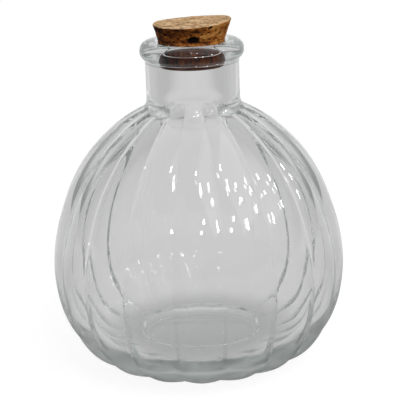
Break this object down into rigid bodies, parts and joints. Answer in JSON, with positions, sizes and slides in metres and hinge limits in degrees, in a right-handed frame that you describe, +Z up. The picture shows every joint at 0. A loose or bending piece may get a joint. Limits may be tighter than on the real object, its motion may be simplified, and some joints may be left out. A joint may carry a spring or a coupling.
{
  "type": "stoppered glass jar",
  "caption": "Round-bellied clear glass jar with upright lobes, a straight neck and a rolled bead lip, closed by a short tapered cork stopper that pulls out upwards.",
  "frame": {"origin": "middle of the base, on the surface that the jar stands on", "axes": "+Z up along the neck; -Y is the pictured front, with a lobe's crest facing it; the stopper's top is cut a little higher on its +X side"},
  "size_m": [0.0964, 0.0972, 0.1135],
  "materials": {
    "clear_glass": "clear, faintly grey-green, fire-polished",
    "natural_cork": "raw natural cork, cut faces with pits and dark streaks"
  },
  "bodies": {
    "jar": {"glass_jar": "clear_glass"},
    "stopper": {"cork_stopper": "natural_cork"}
  },
  "joints": [
    {"name": "cork_pull", "type": "slide", "parent": "jar", "child": "stopper", "axis": [0, 0, 1], "range_m": [0, 0.04]}
  ]
}
